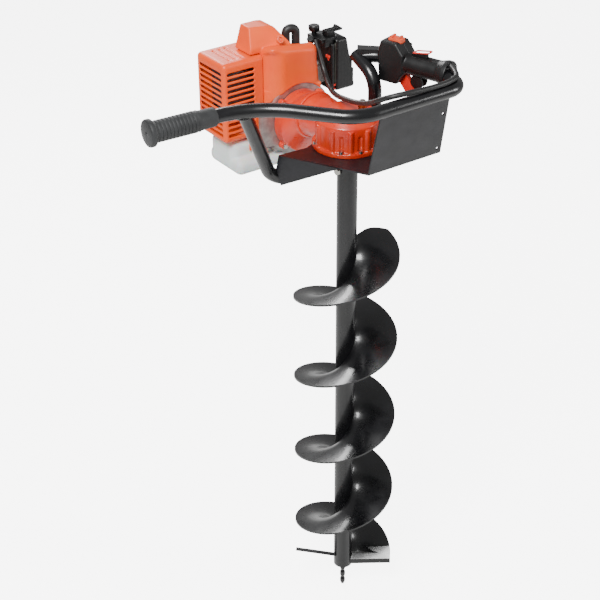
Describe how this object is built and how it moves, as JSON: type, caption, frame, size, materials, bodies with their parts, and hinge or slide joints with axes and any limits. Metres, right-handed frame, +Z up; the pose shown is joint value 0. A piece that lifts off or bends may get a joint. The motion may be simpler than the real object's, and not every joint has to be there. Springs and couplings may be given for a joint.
{
  "type": "ice fishing auger",
  "caption": "One-man petrol ice and earth auger: orange two-stroke powerhead on a bent black tube frame, drop-in spiral bit with notched pilot and welded cutting blades",
  "frame": {"origin": "tip of the pilot point, where the bit first touches the ice", "axes": "+Z up the auger's axis from the pilot to the powerhead; +Y from the operator's hip plate to the engine, along the crankshaft; +X from the muffler to the air filter"},
  "size_m": [0.5724, 0.4437, 1.2125],
  "materials": {
    "powder_black": "gloss black powder coat on steel",
    "shroud_orange": "orange moulded nylon",
    "cast_red": "red-orange enamel over cast aluminium",
    "cast_aluminium": "die-cast aluminium, as cast",
    "bright_steel": "turned and ground steel",
    "gear_steel": "hardened gear steel, oiled",
    "bearing_steel": "polished bearing steel",
    "zinc_fastener": "bright zinc plate",
    "grey_iron": "cast iron, machined faces",
    "brass_vent": "turned brass, dulled",
    "tank_natural": "natural translucent polyethylene",
    "black_nylon": "glass-filled black nylon",
    "black_rubber": "moulded black rubber",
    "foam_grip": "ribbed black foam rubber",
    "red_trigger": "red acetal",
    "orange_switch": "orange-red acetal",
    "red_wire": "red dip-coated spring wire",
    "filter_foam": "open-cell foam, oiled",
    "bulb_clear": "soft translucent rubber"
  },
  "bodies": {
    "frame": {"gearbox_housing": "cast_red", "gearbox_bolts": "zinc_fastener", "breather_plug": "brass_vent", "oil_seal": "black_rubber", "gearbox_bearings": "bearing_steel", "clutch_housing": "cast_red", "housing_bolts": "zinc_fastener", "crankcase_front": "cast_aluminium", "crankcase_rear": "cast_aluminium", "crank_bearings": "bearing_steel", "cylinder": "cast_aluminium", "piston": "cast_aluminium", "cylinder_cover": "shroud_orange", "muffler_guard": "shroud_orange", "muffler": "grey_iron", "spark_plug": "bright_steel", "plug_boot": "black_rubber", "ignition_coil": "black_nylon", "ignition_lead": "black_rubber", "starter_housing": "shroud_orange", "fuel_tank": "tank_natural", "intake_block": "black_nylon", "carburettor": "cast_aluminium", "filter_base": "black_nylon", "filter_cover": "black_nylon", "filter_element": "filter_foam", "support_tray": "powder_black", "handlebar": "powder_black", "upright_tube": "powder_black", "leg_tube": "powder_black", "left_grip": "foam_grip", "throttle_shell_left": "black_nylon", "throttle_shell_right": "black_nylon", "trigger_pin": "bright_steel", "shell_screws": "zinc_fastener", "throttle_conduit": "black_rubber"},
    "auger_bit": {"auger_tube": "powder_black", "auger_flight": "powder_black", "cutting_blades": "powder_black", "pilot_point": "powder_black", "output_spindle": "bright_steel", "coupling_bolt": "zinc_fastener", "crown_gear": "gear_steel"},
    "reduction": {"reduction_shaft": "gear_steel", "reduction_gear": "gear_steel"},
    "drum": {"clutch_drum": "gear_steel"},
    "crank": {"crankshaft": "bright_steel", "flywheel": "cast_aluminium", "clutch_shoes": "grey_iron"},
    "pulley": {"starter_pulley": "black_nylon"},
    "pull": {"starter_handle": "black_nylon"},
    "trigger": {"throttle_trigger": "red_trigger"},
    "lever": {"carb_lever": "zinc_fastener"},
    "lock": {"lock_off_lever": "black_nylon"},
    "catch": {"throttle_catch": "red_wire"},
    "switch": {"stop_switch": "orange_switch"},
    "choke": {"choke_lever": "black_nylon"},
    "bulb": {"primer_bulb": "bulb_clear"},
    "knob": {"filter_knob": "black_nylon"},
    "cap": {"fuel_cap": "black_nylon"}
  },
  "joints": [
    {"name": "auger_spin", "type": "hinge", "parent": "frame", "child": "auger_bit", "pos_m": [0, 0, 1], "axis": [0, 0, 1], "continuous": true},
    {"name": "reduction_spin", "type": "hinge", "parent": "frame", "child": "reduction", "pos_m": [0, 0.07, 1.06725], "axis": [0, 1, 0], "continuous": true},
    {"name": "drum_spin", "type": "hinge", "parent": "frame", "child": "drum", "pos_m": [0, 0.12, 1.036], "axis": [0, 1, 0], "continuous": true},
    {"name": "crank_spin", "type": "hinge", "parent": "frame", "child": "crank", "pos_m": [0, 0.19, 1.036], "axis": [0, 1, 0], "continuous": true},
    {"name": "starter_pull", "type": "slide", "parent": "frame", "child": "pull", "axis": [0, 0, 1], "range_m": [0, 0.45]},
    {"name": "pulley_spin", "type": "hinge", "parent": "frame", "child": "pulley", "pos_m": [0, 0.2725, 1.036], "axis": [0, 1, 0], "range_deg": [0, 1206]},
    {"name": "trigger_squeeze", "type": "hinge", "parent": "frame", "child": "trigger", "pos_m": [0.11885, -0.00459, 1.146], "axis": [-0.9553, -0.2957, 0], "range_deg": [0, 17], "stiffness_Nm_per_rad": 0.5},
    {"name": "carb_lever_turn", "type": "hinge", "parent": "frame", "child": "lever", "pos_m": [0.066, 0.179, 1.11], "axis": [0, 0, 1], "range_deg": [0, 51]},
    {"name": "lock_off_press", "type": "hinge", "parent": "frame", "child": "lock", "pos_m": [0.12535, -0.02561, 1.184], "axis": [-0.9553, -0.2957, 0], "range_deg": [0, 4], "stiffness_Nm_per_rad": 0.1},
    {"name": "catch_lift", "type": "hinge", "parent": "frame", "child": "catch", "pos_m": [0.12595, -0.02752, 1.191], "axis": [-0.9553, -0.2957, 0], "range_deg": [0, 60]},
    {"name": "stop_rock", "type": "hinge", "parent": "frame", "child": "switch", "pos_m": [0.11427, 0.01021, 1.203], "axis": [-0.9553, -0.2957, 0], "range_deg": [-8, 8]},
    {"name": "choke_turn", "type": "hinge", "parent": "frame", "child": "choke", "pos_m": [0.093, 0.172, 1.17], "axis": [0, 0, 1], "range_deg": [0, 60]},
    {"name": "primer_press", "type": "slide", "parent": "frame", "child": "bulb", "axis": [0, 0, 1], "range_m": [0, 0.003], "stiffness_N_per_m": 500},
    {"name": "filter_knob_turn", "type": "hinge", "parent": "frame", "child": "knob", "pos_m": [0.12, 0.178, 1.112], "axis": [1, 0, 0], "range_deg": [0, 720]},
    {"name": "fuel_cap_turn", "type": "hinge", "parent": "frame", "child": "cap", "pos_m": [0.064, 0.265, 0.957], "axis": [0, 1, 0], "range_deg": [0, 720]}
  ],
  "couplings": [
    {"joint": "reduction_spin", "follows": "auger_spin", "ratio": 7},
    {"joint": "drum_spin", "follows": "auger_spin", "ratio": -28},
    {"joint": "pulley_spin", "follows": "starter_pull", "rad_per_m": 46.7},
    {"joint": "carb_lever_turn", "follows": "trigger_squeeze", "ratio": 3}
  ]
}
